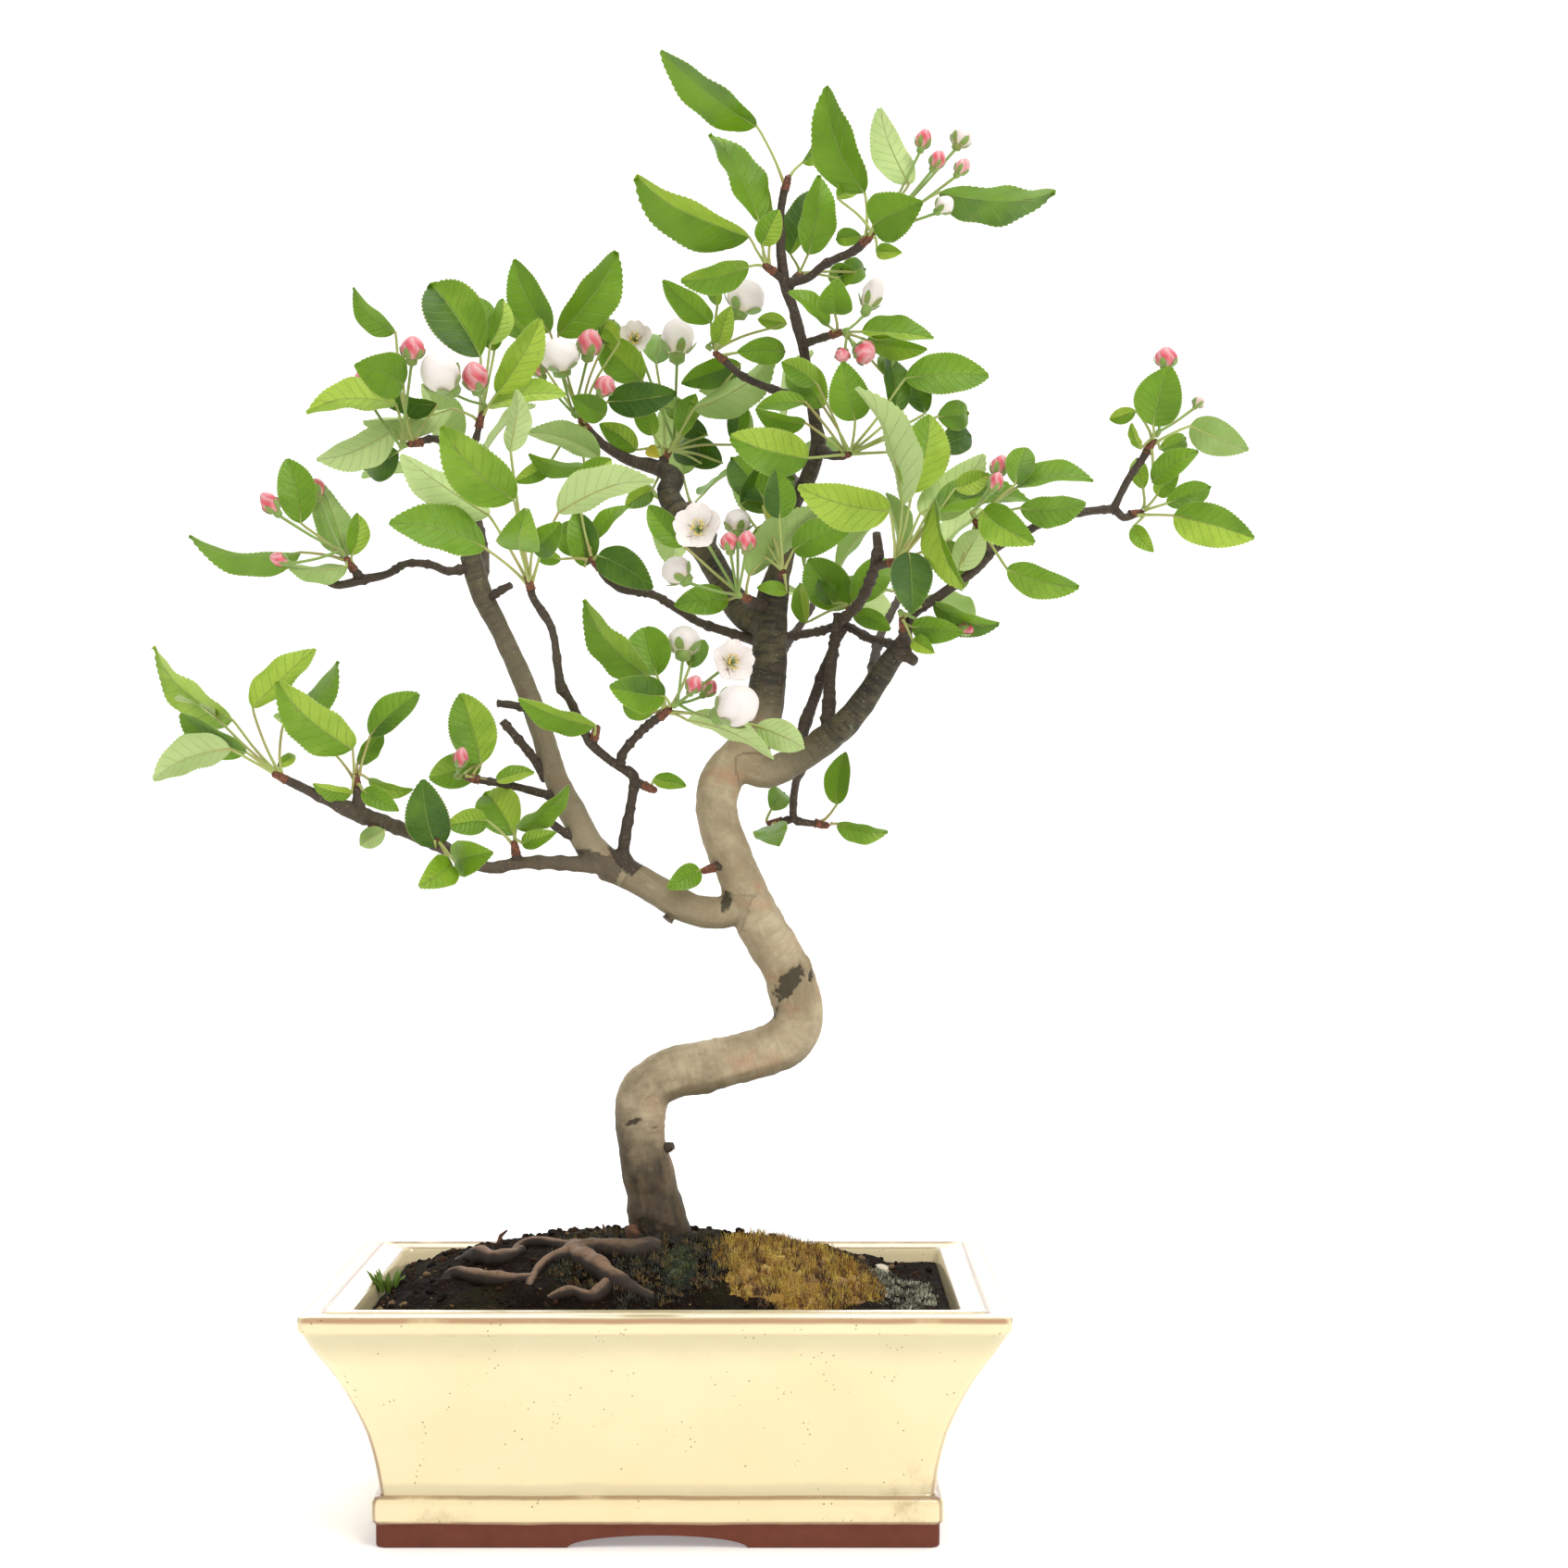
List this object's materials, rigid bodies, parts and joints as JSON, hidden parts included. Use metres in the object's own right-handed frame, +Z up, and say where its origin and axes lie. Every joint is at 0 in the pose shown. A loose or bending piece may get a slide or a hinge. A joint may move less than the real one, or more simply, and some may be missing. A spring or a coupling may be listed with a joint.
{
  "type": "crabapple bonsai in a pot",
  "caption": "Flowering crabapple bonsai with a curved bare trunk, leafy twigs, pink buds and white blossoms, in a flared rectangular cream glazed pot with soil and moss.",
  "frame": {"origin": "On the ground, under the middle of the whole object's box. The middle of the pot is 14.5 mm to the left of it and 16 mm in front of it, because the tree reaches further to the right and to the back.", "axes": "+Z up along the tree, +Y from the shown front of the bonsai to its back, +X to the right as the front is seen."},
  "size_m": [0.4089, 0.217, 0.5469],
  "materials": {
    "cream_glaze": "gloss glaze over a brown clay foot",
    "net_plastic": "moulded net",
    "soil": "damp granular soil",
    "golden_moss": "dry moss with upright stalks",
    "green_moss": "low dark moss",
    "bark": "matt grey-brown bark",
    "leaf": "soft satin leaf",
    "petal": "satin petals, pink to white"
  },
  "bodies": {
    "root": {"drain_net_left": "net_plastic", "drain_net_right": "net_plastic", "flowers_blossom": "petal", "flowers_centre_back": "petal", "flowers_centre_left": "petal", "flowers_far_right": "petal", "flowers_inner": "petal", "flowers_left_crown": "petal", "flowers_left_top": "petal", "flowers_low": "petal", "flowers_right_low": "petal", "flowers_right_twig": "petal", "flowers_right_upper": "petal", "flowers_top_right": "petal", "flowers_trunk_left": "petal", "flowers_upper_left": "petal", "leaf_knob": "leaf", "leaf_low_under": "leaf", "leaf_middle": "leaf", "leaf_trunk": "leaf", "leaves_back_1": "leaf", "leaves_back_2": "leaf", "leaves_back_3": "leaf", "leaves_back_4": "leaf", "leaves_back_5": "leaf", "leaves_blossom": "leaf", "leaves_centre_back": "leaf", "leaves_centre_left": "leaf", "leaves_droop_left": "leaf", "leaves_droop_right": "leaf", "leaves_far_right": "leaf", "leaves_far_right_low": "leaf", "leaves_fork": "leaf", "leaves_fork_low": "leaf", "leaves_inner": "leaf", "leaves_left_crown": "leaf", "leaves_left_top": "leaf", "leaves_low_mid": "leaf", "leaves_low_right": "leaf", "leaves_low_tip": "leaf", "leaves_middle_top": "leaf", "leaves_right_crown": "leaf", "leaves_right_front": "leaf", "leaves_right_inner": "leaf", "leaves_right_low": "leaf", "leaves_right_twig": "leaf", "leaves_right_upper": "leaf", "leaves_summit": "leaf", "leaves_thin_left": "leaf", "leaves_top_back": "leaf", "leaves_top_left": "leaf", "leaves_top_right": "leaf", "leaves_trunk_front": "leaf", "leaves_trunk_left": "leaf", "leaves_upper_left": "leaf", "moss_golden": "golden_moss", "moss_green": "green_moss", "pot": "cream_glaze", "soil": "soil", "wood": "bark"}
  },
  "joints": []
}
